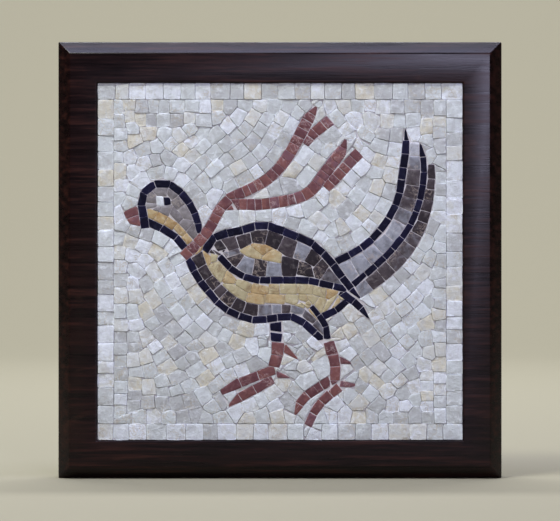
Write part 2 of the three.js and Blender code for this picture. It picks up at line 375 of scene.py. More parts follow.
def inRows(name, bed):
    # rows of stones that follow the edge of the figure, or the bed's own edges
    mask = coarseMap == bedNames.index(name)
    if bed["around"] == "figure":
        beside = np.isin(coarseMap, [bedNames.index(plain) for plain in plainBeds])
    else:
        beside = mask
    depth = depthInto(beside, coarseStep)
    rise, run = np.gradient(softened(depth))
    bearing = np.arctan2(rise, run)
    stones = []
    taken = np.zeros((0, 2))
    for level in np.arange(bed["row"] / 2, depth[mask].max(), bed["row"]):
        rows, cols = np.nonzero(mask & (np.abs(depth - level) < coarseStep * 0.6))
        spots = spotOf(rows, cols)
        last = None
        while len(spots):
            pick = 0 if last is None else int(np.argmin(np.hypot(*(spots - last).T)))
            last = spots[pick]
            length = bed["length"] * (1 + bed["wobble"] * chance.uniform(-1, 1))
            if not len(taken) or np.hypot(*(taken - last).T).min() > bed["row"] * 0.62:
                angle = bearing[rows[pick], cols[pick]] + math.pi / 2
                stones.append((last[0], last[1], angle, length / 2, bed["row"] / 2, chance.random()))
                taken = np.vstack([taken, last])
            keep = np.hypot(*(spots - last).T) > length
            spots, rows, cols = spots[keep], rows[keep], cols[keep]
    return stones, guideFor(bed, mask & (depth < coarseStep * 1.5), bearing)


def guideFor(bed, edge, bearing):
    # points on the bed's edges, with the way each edge faces, that the stones near them turn to
    rows, cols = np.nonzero(edge)
    rows, cols = rows[::3], cols[::3]
    points = spotOf(rows, cols)
    angles = bearing[rows, cols]
    weights = np.ones(len(points))
    if bed["around"] == "figure":
        low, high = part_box("ground_stones")
        sides = []
        for share in np.arange(0, 1, layout["borderSpacing"] / (high.x - low.x)):
            x = low.x + share * (high.x - low.x)
            z = low.z + share * (high.z - low.z)
            sides += [(x, low.z), (x, high.z), (low.x, z), (high.x, z)]
        points = np.vstack([points, sides])
        angles = np.concatenate([angles, np.zeros(len(sides))])
        weights = np.concatenate([weights, np.full(len(sides), layout["borderPull"])])
    return points, angles, weights


def turnAt(guide, x, z, angle):
    # the direction of the nearest edges; a stone is square enough to turn by quarters
    points, angles, weights = guide
    pull = weights / (np.hypot(points[:, 0] - x, points[:, 1] - z) + mm) ** layout["pullFade"]
    wanted = math.atan2((pull * np.sin(4 * angles)).sum(), (pull * np.cos(4 * angles)).sum()) / 4
    quarter = math.pi / 2
    return wanted + round((angle - wanted) / quarter) * quarter


def oneStone(name):
    spots = spotOf(*np.nonzero(coarseMap == bedNames.index(name)))
    here = spots.mean(axis=0)
    return [(here[0], here[1], 0.0, layout["halfWidth"], layout["halfWidth"], 0.5)]


# A seed is a stone to be: x, z, the way it lies, half its length, half its width and its share of the
# bed's shades. seedBed holds the bed each one is in, and guides the edges that stones in rows turn to.
seeds, seedBed, guides = [], [], {}
for mark, (name, bed) in enumerate(beds.items()):
    if bed["lay"] == "line":
        laid = alongBed(name, bed)
    elif bed["lay"] == "rows":
        laid, guides[mark] = inRows(name, bed)
    else:
        laid = oneStone(name)
    seeds += laid
    seedBed += [mark] * len(laid)
seeds = np.array(seeds)
seedBed = np.array(seedBed)
print("stones to lay:", len(seeds))


def claimed():
    # every cell goes to the stone of its own bed that it lies nearest to, measured in stone sides
    best = np.full(bedMap.shape, np.inf)
    owner = np.full(bedMap.shape, -1)
    for k, (x, z, angle, along, across, _) in enumerate(seeds):
        reach = int(layout["claimReach"] * max(along, across) / cell)
        col, row = int((x - bedLow.x) / cell), int((z - bedLow.z) / cell)
        low = (max(0, row - reach), max(0, col - reach))
        window = (slice(low[0], row + reach), slice(low[1], col + reach))
        part = bedMap[window]
        dx = bedLow.x + (low[1] + np.arange(part.shape[1]) + 0.5) * cell - x
        dz = (bedLow.z + (low[0] + np.arange(part.shape[0]) + 0.5) * cell - z)[:, None]
        turn, lean = math.cos(angle), math.sin(angle)
        far = np.maximum(np.abs(dx * turn + dz * lean) / along, np.abs(dz * turn - dx * lean) / across)
        mine = (part == seedBed[k]) & (far < best[window])
        best[window][mine] = far[mine]
        owner[window][mine] = k
    return owner


def stoneMiddles(owner):
    # the middle of what each stone claimed, and the number of its cells
    z, x = np.nonzero(owner >= 0)
    who = owner[z, x]
    counts = np.bincount(who, minlength=len(seeds))
    held = np.maximum(counts, 1)
    midX = bedLow.x + (np.bincount(who, x, len(seeds)) / held + 0.5) * cell
    midZ = bedLow.z + (np.bincount(who, z, len(seeds)) / held + 0.5) * cell
    return np.stack([midX, midZ], axis=1), counts


def settle():
    # stones in rows move to the middle of what they claimed and turn with their row
    middles, counts = stoneMiddles(claimed())
    for k in range(len(seeds)):
        if seedBed[k] in guides and counts[k]:
            seeds[k, :2] = middles[k]
            seeds[k, 2] = turnAt(guides[seedBed[k]], *seeds[k, :3])


for _ in range(layout["settling"]):
    settle()
stoneMap = claimed()
print("stones settled")


def contactPoints():
    # (stone, other stone, x, z) for every spot where two stones, or a stone and the board, touch
    framed = np.pad(stoneMap, 1)
    outside = len(seeds)
    framed[:, 0], framed[:, -1] = outside, outside + 1
    framed[0, :], framed[-1, :] = outside + 2, outside + 3
    found = []
    for axis in (0, 1):
        first = framed[:-1, :] if axis == 0 else framed[:, :-1]
        second = framed[1:, :] if axis == 0 else framed[:, 1:]
        rows, cols = np.nonzero((first != second) & (first >= 0) & (second >= 0))
        x = bedLow.x + (cols - 0.5 + 0.5 * axis) * cell
        z = bedLow.z + (rows - 0.5 + 0.5 * (1 - axis)) * cell
        pair = np.stack([first[rows, cols], second[rows, cols]], axis=1)
        found.append(np.column_stack([pair.min(axis=1), pair.max(axis=1), x, z]))
    found = np.vstack(found)
    return found[found[:, 0] < outside]


def ruledBy(one, other):
    # which of two touching stones sets the line between them: the one in a line of stones
    if other >= len(seeds) or seedBed[one] == seedBed[other]:
        return None
    inLine = [k for k in (one, other) if beds[bedNames[seedBed[k]]]["lay"] == "line"]
    inFigure = [k for k in inLine if bedNames[seedBed[k]] not in plainBeds]
    return (inFigure or inLine or [None])[0]


def sidesOf(found):
    # contact spots put together by the side of the stone that they lie on
    groups = {}
    neighbours = {}
    for one, other in np.unique(found[:, :2].astype(int), axis=0):
        if other < len(seeds) and seedBed[one] == seedBed[other]:
            neighbours.setdefault(one, []).append(other)
            neighbours.setdefault(other, []).append(one)
    for one, other, x, z in found:
        one, other = int(one), int(other)
        ruler = ruledBy(one, other)
        if ruler is None:
            groups.setdefault((one, other, "face"), []).append((one, other, x, z))
            continue
        angle = seeds[ruler, 2]
        along = np.array([math.cos(angle), math.sin(angle)])
        across = np.array([-along[1], along[0]])
        away = np.array([x, z]) - middles[ruler]
        end = np.sign(away @ along)
        tip = abs(away @ along) > layout["tip"] * seeds[ruler, 3]
        closed = any((middles[k] - middles[ruler]) @ along * end > 0 for k in neighbours.get(ruler, []))
        side = ("tip", end) if tip and not closed else ("side", np.sign(away @ across))
        groups.setdefault((ruler, side), []).append((one, other, x, z))
    return groups


def lineThrough(points, angle=None):
    # the straight line that contact spots stand for: a point on it and its normal
    if angle is not None:
        return points.mean(axis=0), np.array([math.cos(angle), math.sin(angle)])
    ways = np.linalg.eigh(np.cov((points - points.mean(axis=0)).T))[1]
    return points.mean(axis=0), ways[:, 0]


def harmOf(line, k, other):
    # the share of a stone that a line would cut off, and of its neighbour that it would leave in
    point, across = line
    outward = across if (middles[k] - point) @ across < 0 else -across
    harm = ((stoneSpots[k] - point) @ outward > 0).mean()
    if other < len(seeds) and len(stoneSpots[other]):
        harm += ((stoneSpots[other] - point) @ outward < 0).mean()
    return harm


def sharedEdges():
    # for each side of a stone, the line that parts it from what it touches
    for key, spots in sidesOf(contactPoints()).items():
        if len(spots) * cell < layout["shortContact"]:
            continue
        spots = np.array(spots)
        tipOf = key[0] if len(key) == 2 and key[1][0] == "tip" else None
        line = lineThrough(spots[:, 2:], None if tipOf is None else seeds[tipOf, 2])
        pairs, counts = np.unique(spots[:, :2].astype(int), axis=0, return_counts=True)
        for pair, count in zip(pairs, counts):
            if count * cell <= layout["shortContact"] and len(pairs) > 1:
                continue
            own = spots[(spots[:, :2] == pair).all(axis=1), 2:]
            choices = [line] if len(own) < 4 else [line, lineThrough(own)]
            for k, other in (pair, pair[::-1]):
                if k < len(seeds) and len(stoneSpots[k]):
                    harm = [harmOf(choice, k, other) for choice in choices]
                    best = 0 if harm[0] < layout["mostHarm"] else int(np.argmin(harm))
                    yield int(k), *choices[best]


def trimmed(outline, point, outward):
    # the part of a convex outline on the inner side of a line
    kept = []
    for i, corner in enumerate(outline):
        following = outline[(i + 1) % len(outline)]
        here = (corner - point) @ outward
        there = (following - point) @ outward
        if here <= 0:
            kept.append(corner)
        if here * there < 0:
            kept.append(corner + (following - corner) * here / (here - there))
    return kept


def handCut(outline):
    # corners broken off and edges that wander a little, as nippers leave them
    low, high = layout["cornerBreak"]
    rough = []
    for i, corner in enumerate(outline):
        before, after = outline[i - 1], outline[(i + 1) % len(outline)]
        shortest = min(np.hypot(*(before - corner)), np.hypot(*(after - corner)))
        away = min(chance.uniform(low, high), 0.3 * shortest)
        towards = (before - corner) / max(np.hypot(*(before - corner)), cell)
        onward = (after - corner) / max(np.hypot(*(after - corner)), cell)
        rough += [corner + towards * away, corner + onward * away]
        if np.hypot(*(after - corner)) > layout["longEdge"]:
            aside = np.array([-onward[1], onward[0]]) * chance.normal(0, layout["edgeWander"])
            rough.append((corner + after) / 2 + aside)
    return rough


def boundsOf(k):
    # eight straight lines round everything a stone claimed, turned the way it lies
    for i in range(8):
        angle = seeds[k, 2] + i * math.pi / 4
        outward = np.array([math.cos(angle), math.sin(angle)])
        farthest = np.quantile((stoneSpots[k] - middles[k]) @ outward, 0.995)
        yield middles[k] + outward * (farthest + cell), outward


def outlineOf(k, joint):
    # a large square, cut down by the stone's bounds and its sides
    outline = [middles[k] + layout["farOut"] * np.array(corner)
               for corner in ((-1, -1), (1, -1), (1, 1), (-1, 1))]
    for point, outward in boundsOf(k):
        outline = trimmed(outline, point, outward)
    for point, outward in cuts[k]:
        outline = trimmed(outline, point - outward * joint / 2, outward)
    return outline


def claimedSpots():
    # the places of the cells that each stone claimed
    z, x = np.nonzero(stoneMap >= 0)
    owners = stoneMap[z, x]
    order = np.argsort(owners, kind="stable")
    spots = np.stack([bedLow.x + (x + 0.5) * cell, bedLow.z + (z + 0.5) * cell], axis=1)[order]
    return np.split(spots, np.searchsorted(owners[order], np.arange(1, len(seeds))))


def straightSides():
    # the lines that every stone is cut along, as a point and the way outwards
    sides = {k: [] for k in range(len(seeds))}
    for k, point, across in sharedEdges():
        outward = across if (middles[k] - point) @ across < 0 else -across
        sides[k].append((point, outward))
    return sides


def stonesThatFit(leastLeft):
    # from the largest to the smallest, the stones that don't lie on one already laid, and their cells
    covered = np.zeros(bedMap.shape, bool)
    fitting = []
    for k in np.argsort(-sizes):
        outline = outlineOf(k, 0) if len(cuts[k]) > 2 else []
        if len(outline) < 3:
            continue
        block, inside = cellsIn(outline)
        count = inside.sum()
        onOther = (covered[block] & inside).sum()
        if count * cell ** 2 < max(layout["smallest"], leastLeft * sizes[k]):
            continue
        if onOther > layout["mostOverlap"] * count:
            continue
        covered[block] |= inside
        fitting.append(int(k))
    return sorted(fitting), covered


def chipsFor(bare):
    # a small stone for every bare spot that is wide enough
    depth = depthInto(bare, cell)
    chips, marks = [], []
    while depth.max() > layout["bareSpot"]:
        row, col = np.unravel_index(depth.argmax(), depth.shape)
        reach = int(depth[row, col] * 2.2 / cell) + 4
        low = max(0, row - reach), max(0, col - reach)
        window = (slice(low[0], row + reach + 1), slice(low[1], col + reach + 1))
        z, x = np.nonzero(bare[window] & (bedMap[window] == bedMap[row, col]))
        points = np.stack([(x + low[1] + 0.5) * cell, (z + low[0] + 0.5) * cell], axis=1)
        spread, ways = np.linalg.eigh(np.cov((points - points.mean(axis=0)).T))
        across, along = np.sqrt(3 * np.maximum(spread, cell ** 2))
        middle = points.mean(axis=0) + (bedLow.x, bedLow.z)
        chips.append((*middle, math.atan2(ways[1, 1], ways[0, 1]), along, across, chance.random()))
        marks.append(bedMap[row, col])
        depth[window] = 0
    return chips, marks


# Stones that don't fit are taken out, and chips go into what is left bare.
for turn in range(layout["patching"] + 1):
    middles, counts = stoneMiddles(stoneMap)
    sizes = np.maximum(counts, 1) * cell ** 2
    stoneSpots = claimedSpots()
    cuts = straightSides()
    fitting, covered = stonesThatFit(0 if turn else layout["leastLeft"])
    if turn == layout["patching"]:
        break
    chips, marks = chipsFor((bedMap >= 0) & ~covered)
    if not chips:
        break
    print("stones taken out and chips set in:", len(seeds) - len(fitting), len(chips))
    seeds = np.vstack([seeds[fitting], chips])
    seedBed = np.concatenate([seedBed[fitting], marks])
    stoneMap = claimed()


def shadeOf(bed, share):
    # a shade for the stone that lies at this share of its bed
    for upTo, low, high in bed["shades"]:
        if share <= upTo:
            return chance.uniform(low, high)
    return chance.uniform(*bed["shades"][-1][1:])


def cartoonOf(piece):
    # one piece of the picture as flat outlines on the back of the stones, with what each stone carries
    marks = [bedNames.index(name) for name in picture[piece]["beds"]]
    corners, faces, shades, grains, centres, numbers = [], [], [], [], [], []
    for k in fitting:
        if seedBed[k] not in marks:
            continue
        joint = beds[bedNames[seedBed[k]]]["joint"] * chance.uniform(*layout["jointSpread"])
        outline = outlineOf(k, joint)
        if len(outline) < 3:
            continue
        outline = handCut(outline)
        shade = shadeOf(beds[bedNames[seedBed[k]]], seeds[k, 5])
        grain = chance.random()
        faces.append(list(range(len(corners), len(corners) + len(outline))))
        corners += [(x, stoneBack, z) for x, z in outline]
        shades += [shade] * len(outline)
        grains += [grain] * len(outline)
        centres += [(middles[k][0], stoneBack, middles[k][1])] * len(outline)
        numbers += [k] * len(outline)
    mesh = bpy.data.meshes.new(piece)
    mesh.from_pydata(corners, [], faces)
    mesh.attributes.new("stoneShade", "FLOAT", "POINT").data.foreach_set("value", shades)
    mesh.attributes.new("stoneGrain", "FLOAT", "POINT").data.foreach_set("value", grains)
    mesh.attributes.new("stoneNumber", "INT", "POINT").data.foreach_set("value", numbers)
    mesh.attributes.new("stoneCentre", "FLOAT_VECTOR", "POINT").data.foreach_set(
        "vector", np.array(centres).ravel())
    holder = bpy.data.objects.new(piece, mesh)
    bpy.context.collection.objects.link(holder)
    return holder


stoneForm = {
    "Depth": stoneBack - faceLevel,
    "Edge break": 0.22 * mm,    # width of the worn edge round a stone's face
    "Crown": 0.1 * mm,          # how far the middle of a face stands over its edge
    "Lean": 0.02,               # slope of a face, at most
    "Unevenness": 0.08 * mm,    # how far stones stand over and under each other
    "Cleft": 0.09 * mm,         # roughness of the split face
    "Cleft size": 420.0,
    "Seed": 4,
}


def socketNamed(sockets, name):
    return next(socket for socket in sockets if socket.name == name and socket.enabled)


def buildStoneTree():
    tree = bpy.data.node_groups.new("layStones", "GeometryNodeTree")
    tree.interface.new_socket("Geometry", in_out="INPUT", socket_type="NodeSocketGeometry")
    for name, value in stoneForm.items():
        kind = "NodeSocketInt" if isinstance(value, int) else "NodeSocketFloat"
        tree.interface.new_socket(name, in_out="INPUT", socket_type=kind)
    tree.interface.new_socket("Material", in_out="INPUT", socket_type="NodeSocketMaterial")
    tree.interface.new_socket("Geometry", in_out="OUTPUT", socket_type="NodeSocketGeometry")
    made = tree.nodes.new("NodeGroupInput")
    outcome = tree.nodes.new("NodeGroupOutput")

    def add(kind, inputs=None, **settings):
        node = tree.nodes.new(kind)
        for name, value in settings.items():
            setattr(node, name, value)
        for name, value in (inputs or {}).items():
            socket = node.inputs[name] if isinstance(name, int) else socketNamed(node.inputs, name)
            if isinstance(value, bpy.types.NodeSocket):
                tree.links.new(value, socket)
            else:
                socket.default_value = value
        return node

    def value(name):
        return made.outputs[name]

    def maths(operation, a, b):
        return add("ShaderNodeMath", {0: a, 1: b}, operation=operation).outputs[0]

    def vectors(operation, a, b):
        node = add("ShaderNodeVectorMath", {0: a, 1: b}, operation=operation)
        return node.outputs["Value"] if operation == "DOT_PRODUCT" else node.outputs["Vector"]

    def named(name, kind):
        node = add("GeometryNodeInputNamedAttribute", {"Name": name}, data_type=kind)
        return socketNamed(node.outputs, "Attribute")

    def perStone(low, high, turn):
        node = add("FunctionNodeRandomValue", {
            "Min": low, "Max": high, "ID": named("stoneNumber", "INT"),
            "Seed": maths("ADD", value("Seed"), turn)}, data_type="FLOAT")
        return socketNamed(node.outputs, "Value")

    position = add("GeometryNodeInputPosition").outputs[0]
    fromCentre = vectors("SUBTRACT", position, named("stoneCentre", "FLOAT_VECTOR"))
    fromCentre = vectors("MULTIPLY", fromCentre, (1, 0, 1))

    def risen(geometry, selection, height):
        inputs = {"Mesh": geometry, "Offset Scale": height, "Individual": True}
        if selection is not None:
            inputs["Selection"] = selection
        node = add("GeometryNodeExtrudeMesh", inputs, mode="FACES")
        return node.outputs["Mesh"], node.outputs["Top"]

    def moved(geometry, selection, offset):
        inputs = {"Geometry": geometry, "Selection": selection, "Offset": offset}
        return add("GeometryNodeSetPosition", inputs).outputs[0]

    def marked(geometry, selection, name, amount):
        inputs = {"Geometry": geometry, "Name": name, "Value": amount}
        if selection is not None:
            inputs["Selection"] = selection
        node = add("GeometryNodeStoreNamedAttribute", inputs, data_type="FLOAT", domain="POINT")
        return node.outputs[0]

    flat = marked(made.outputs["Geometry"], None, "inFace", 0.0)
    flat = marked(flat, None, "standing", 0.0)

    # the walls, up to where the edge is broken
    body, top = risen(flat, None, maths("SUBTRACT", value("Depth"), value("Edge break")))
    # the broken edge leans inwards
    body, top = risen(body, top, maths("MULTIPLY", value("Edge break"), 0.8))
    inward = add("ShaderNodeVectorMath", {0: fromCentre}, operation="NORMALIZE").outputs["Vector"]
    pull = add("ShaderNodeVectorMath", {0: inward}, operation="SCALE")
    tree.links.new(maths("MULTIPLY", value("Edge break"), -1.0), pull.inputs["Scale"])
    body = moved(body, top, pull.outputs["Vector"])
    body = marked(body, top, "standing", 1.0)
    # two rings inside the face, so that the split surface can roll
    for share in (-0.34, -0.5):
        body, top = risen(body, top, 0.0)
        shrink = add("ShaderNodeVectorMath", {0: fromCentre}, operation="SCALE")
        shrink.inputs["Scale"].default_value = share
        body = moved(body, top, shrink.outputs["Vector"])
        body = marked(body, top, "inFace", 1.0)

    # each face leans its own way, stands at its own height and is rough
    lean = add("ShaderNodeCombineXYZ", {
        "X": perStone(maths("MULTIPLY", value("Lean"), -1.0), value("Lean"), 1),
        "Z": perStone(maths("MULTIPLY", value("Lean"), -1.0), value("Lean"), 2)}).outputs[0]
    slope = vectors("DOT_PRODUCT", fromCentre, lean)
    height = perStone(maths("MULTIPLY", value("Unevenness"), -1.0), value("Unevenness"), 3)
    noise = add("ShaderNodeTexNoise", {
        "Vector": position, "Scale": value("Cleft size"), "Detail": 2.0}, noise_dimensions="3D")
    rough = maths("SUBTRACT", noise.outputs[0], 0.5)
    rough = maths("MULTIPLY", rough, maths("MULTIPLY", value("Cleft"), 2.0))
    crown = maths("MULTIPLY", named("inFace", "FLOAT"), value("Crown"))
    lift = maths("ADD", maths("ADD", slope, height), maths("ADD", rough, crown))
    lift = maths("MULTIPLY", lift, named("standing", "FLOAT"))
    offset = add("ShaderNodeCombineXYZ", {"Y": maths("MULTIPLY", lift, -1.0)}).outputs[0]
    body = add("GeometryNodeSetPosition", {"Geometry": body, "Offset": offset}).outputs[0]

    # the back of each stone closes it
    backs = add("GeometryNodeFlipFaces", {"Mesh": flat}).outputs[0]
    joined = tree.nodes.new("GeometryNodeJoinGeometry")
    tree.links.new(body, joined.inputs[0])
    tree.links.new(backs, joined.inputs[0])
    whole = add("GeometryNodeMergeByDistance", {
        "Geometry": joined.outputs[0], "Distance": 0.002 * mm}).outputs[0]
    whole = add("GeometryNodeSetShadeSmooth", {
        "Geometry": whole, "Shade Smooth": True}, domain="FACE").outputs[0]
    angle = add("GeometryNodeInputMeshEdgeAngle").outputs["Unsigned Angle"]
    sharp = add("FunctionNodeCompare", {"A": angle, "B": math.radians(28)}, data_type="FLOAT",
                operation="GREATER_THAN").outputs[0]
    whole = add("GeometryNodeSetShadeSmooth", {"Geometry": whole, "Selection": sharp, "Shade Smooth": False},
                domain="EDGE").outputs[0]
    real = add("GeometryNodeRealizeInstances", {"Geometry": whole}).outputs[0]
    final = add("GeometryNodeSetMaterial", {"Geometry": real, "Material": value("Material")}).outputs[0]
    tree.links.new(final, outcome.inputs["Geometry"])
    return tree


def plainCopy(holder, name):
    # the result of the modifiers as a mesh of its own, with the modifiers gone
    depsgraph = bpy.context.evaluated_depsgraph_get()
    mesh = bpy.data.meshes.new_from_object(holder.evaluated_get(depsgraph), depsgraph=depsgraph)
    mesh.name = name
    holder.modifiers.clear()
    holder.data = mesh
    return holder


def layStones(holder, tree, material, changes):
    modifier = holder.modifiers.new("layStones", "NODES")
    modifier.node_group = tree
    form = dict(stoneForm, **changes)
    for item in tree.interface.items_tree:
        if item.in_out == "INPUT" and item.name in form:
            modifier[item.identifier] = form[item.name]
        if item.in_out == "INPUT" and item.name == "Material":
            modifier[item.identifier] = material
    return plainCopy(holder, holder.name)


# How far apart the patterns of two stones may lie, so that none repeats another's.
grainSpread = 40.0


class Finish:
    # a material and the few node moves that every finish here needs
    def __init__(self, name, roughness=0.6, specular=0.5):
        self.material = bpy.data.materials.new(name)
        self.material.use_nodes = True
        self.tree = self.material.node_tree
        self.shader = self.tree.nodes["Principled BSDF"]
        self.shader.inputs["Roughness"].default_value = roughness
        self.shader.inputs["Specular IOR Level"].default_value = specular
        self.place = self.add("ShaderNodeTexCoord").outputs["Object"]

    def add(self, kind, inputs=None, **settings):
        node = self.tree.nodes.new(kind)
        for name, value in settings.items():
            setattr(node, name, value)
        for name, value in (inputs or {}).items():
            if isinstance(value, bpy.types.NodeSocket):
                self.tree.links.new(value, node.inputs[name])
            else:
                node.inputs[name].default_value = value
        return node

    def attribute(self, name):
        return self.add("ShaderNodeAttribute", attribute_name=name).outputs["Fac"]

    def noise(self, scale, detail=3.0, roughness=0.55, stretch=None, grain=None, warp=0.0):
        vector = self.place
        if stretch:
            vector = self.add("ShaderNodeMapping", {"Vector": vector, "Scale": stretch}).outputs[0]
        inputs = {"Vector": vector, "Scale": scale, "Detail": detail, "Roughness": roughness,
                  "Distortion": warp}
        if grain is not None:
            inputs["W"] = self.maths("MULTIPLY", grain, grainSpread)
        dimensions = "3D" if grain is None else "4D"
        return self.add("ShaderNodeTexNoise", inputs, noise_dimensions=dimensions).outputs[0]

    def maths(self, operation, a, b=0.0):
        return self.add("ShaderNodeMath", {0: a, 1: b}, operation=operation).outputs[0]

    def between(self, value, low, high, start=0.0, end=1.0):
        return self.add("ShaderNodeMapRange", {
            "Value": value, "From Min": low, "From Max": high, "To Min": start, "To Max": end}).outputs[0]

    def ramp(self, value, stops):
        node = self.add("ShaderNodeValToRGB", {"Fac": value})
        elements = node.color_ramp.elements
        while len(elements) < len(stops):
            elements.new(0.5)
        for element, (place, colour) in zip(elements, stops):
            element.position = place
            element.color = (*colour, 1)
        return node.outputs[0]

    def mix(self, share, first, second, blend="MIX"):
        node = self.add("ShaderNodeMix", data_type="RGBA", blend_type=blend)
        for socket, value in ((node.inputs[0], share), (node.inputs[6], first), (node.inputs[7], second)):
            if isinstance(value, bpy.types.NodeSocket):
                self.tree.links.new(value, socket)
            else:
                socket.default_value = (*value, 1) if isinstance(value, tuple) else value
        return node.outputs[2]

    def bump(self, height, strength, distance):
        node = self.add("ShaderNodeBump", {"Height": height, "Strength": strength, "Distance": distance})
        self.tree.links.new(node.outputs[0], self.shader.inputs["Normal"])

    def finish(self, colour, roughness=None):
        self.tree.links.new(colour, self.shader.inputs["Base Color"])
        if roughness is not None:
            self.tree.links.new(roughness, self.shader.inputs["Roughness"])
        return self.material


# One kind of stone: its colours from stone to stone, how far they wander inside one stone,
# the clouds and veins in it, and its polish.
stoneKinds = {
    "white_marble": {
        "colours": ((0.0, (0.41, 0.425, 0.43)), (0.2, (0.49, 0.52, 0.52)), (0.5, (0.565, 0.61, 0.615)),
                    (0.72, (0.69, 0.73, 0.785)), (0.80, (0.575, 0.60, 0.585)), (0.92, (0.58, 0.59, 0.55)),
                    (1.0, (0.585, 0.565, 0.465))),
        "wander": 0.3, "cloud": (0.35, 0.34, 0.345), "clouding": 0.5,
        "light": (0.87, 0.93, 0.96), "lighting": 0.7, "vein": (0.42, 0.36, 0.25), "veining": 0.6,
        "roughness": (0.34, 0.6), "specular": 0.5, "edge": 1.12, "relief": 0.6 * mm,
    },
    "black_stone": {
        "colours": ((0.0, (0.0022, 0.0020, 0.0085)), (0.5, (0.0042, 0.0038, 0.017)),
                    (0.85, (0.009, 0.0085, 0.032)), (1.0, (0.022, 0.021, 0.055))),
        "wander": 0.5, "cloud": (0.0015, 0.0015, 0.005), "clouding": 0.4,
        "light": (0.045, 0.05, 0.09), "lighting": 0.35, "vein": (0.05, 0.05, 0.06), "veining": 0.0,
        "roughness": (0.42, 0.62), "specular": 0.09, "edge": 1.8, "relief": 0.3 * mm,
    },
    "brown_stone": {
        "colours": ((0.0, (0.012, 0.008, 0.012)), (0.25, (0.028, 0.019, 0.024)),
                    (0.45, (0.072, 0.058, 0.065)), (0.65, (0.215, 0.225, 0.26)), (0.8, (0.32, 0.335, 0.385)),
                    (1.0, (0.6, 0.61, 0.64))),
        "wander": 0.34, "cloud": (0.014, 0.011, 0.016), "clouding": 0.6,
        "light": (0.27, 0.245, 0.24), "lighting": 0.45, "vein": (0.42, 0.35, 0.30), "veining": 0.5,
        "roughness": (0.42, 0.66), "specular": 0.25, "edge": 1.3, "relief": 0.35 * mm,
    },
    "grey_stone": {
        "colours": ((0.0, (0.10, 0.088, 0.094)), (0.4, (0.17, 0.155, 0.16)), (0.7, (0.25, 0.235, 0.24)),
                    (1.0, (0.36, 0.35, 0.365))),
        "wander": 0.4, "cloud": (0.075, 0.064, 0.070), "clouding": 0.55,
        "light": (0.42, 0.40, 0.41), "lighting": 0.5, "vein": (0.5, 0.44, 0.36), "veining": 0.4,
        "roughness": (0.48, 0.7), "specular": 0.3, "edge": 1.1, "relief": 0.35 * mm,
    },
    "ochre_stone": {
        "colours": ((0.0, (0.43, 0.385, 0.235)), (0.3, (0.45, 0.385, 0.225)), (0.55, (0.45, 0.33, 0.165)),
                    (0.75, (0.355, 0.225, 0.09)), (1.0, (0.255, 0.145, 0.055))),
        "wander": 0.6, "cloud": (0.20, 0.125, 0.06), "clouding": 0.6,
        "light": (0.70, 0.65, 0.48), "lighting": 0.6, "vein": (0.19, 0.12, 0.07), "veining": 0.6,
        "roughness": (0.5, 0.72), "specular": 0.3, "edge": 1.0, "relief": 0.35 * mm,
    },
    "red_stone": {
        "colours": ((0.0, (0.088, 0.026, 0.034)), (0.35, (0.125, 0.044, 0.050)), (0.6, (0.19, 0.070, 0.062)),
                    (0.8, (0.15, 0.068, 0.088)), (1.0, (0.30, 0.125, 0.085))),
        "wander": 0.4, "cloud": (0.062, 0.020, 0.026), "clouding": 0.55,
        "light": (0.38, 0.22, 0.21), "lighting": 0.45, "vein": (0.55, 0.43, 0.42), "veining": 0.5,
        "roughness": (0.46, 0.68), "specular": 0.3, "edge": 1.2, "relief": 0.3 * mm,
    },
}


def stoneFinish(kind, facts):
    finish = Finish(kind, specular=facts["specular"])
    grain = finish.attribute("stoneGrain")
    turning = finish.noise(190, detail=4, roughness=0.6, grain=finish.maths("ADD", grain, 3.0), warp=0.8)
    shade = finish.between(turning, 0.25, 0.75, -facts["wander"] / 2, facts["wander"] / 2)
    colour = finish.ramp(finish.maths("ADD", finish.attribute("stoneShade"), shade), facts["colours"])
    clouds = finish.noise(230, detail=4, grain=grain, warp=0.6)
    colour = finish.mix(finish.between(clouds, 0.5, 0.72, 0, facts["clouding"]), colour, facts["cloud"])
    patches = finish.noise(330, detail=5, roughness=0.65, grain=finish.maths("ADD", grain, 7.0), warp=0.3)
    colour = finish.mix(finish.between(patches, 0.52, 0.74, 0, facts["lighting"]), colour, facts["light"])
    # a vein runs through some of the stones
    streak = finish.noise(150, detail=3, grain=finish.maths("ADD", grain, 13.0), warp=1.6)
    streak = finish.maths("ABSOLUTE", finish.maths("SUBTRACT", streak, 0.5))
    veined = finish.between(finish.noise(70, detail=0, grain=finish.maths("ADD", grain, 29.0)), 0.54, 0.62)
    vein = finish.maths("MULTIPLY", finish.between(streak, 0.0, 0.035, facts["veining"], 0), veined)
    colour = finish.mix(vein, colour, facts["vein"])
    # the broken edge is coloured lighter than the face, by the kind's edge factor
    edge = finish.between(finish.attribute("inFace"), 0.0, 0.6, facts["edge"], 1.0)
    colour = finish.mix(1.0, colour, edge, blend="MULTIPLY")
    fine = finish.noise(1500, detail=3, roughness=0.7)
    low, high = facts["roughness"]
    finish.bump(finish.maths("ADD", fine, finish.maths("MULTIPLY", patches, 1.8)), 0.6, facts["relief"])
    return finish.finish(colour, finish.between(clouds, 0.3, 0.7, low, high))


def mortarFinish():
    finish = Finish("lime_mortar", roughness=0.92, specular=0.25)
    tone = finish.noise(120, detail=4)
    colour = finish.ramp(tone, ((0.3, (0.42, 0.40, 0.40)), (0.6, (0.62, 0.60, 0.62)),
                                (0.8, (0.72, 0.71, 0.73))))
    finish.bump(finish.noise(2200, detail=3), 0.6, 0.2 * mm)
    return finish.finish(colour)


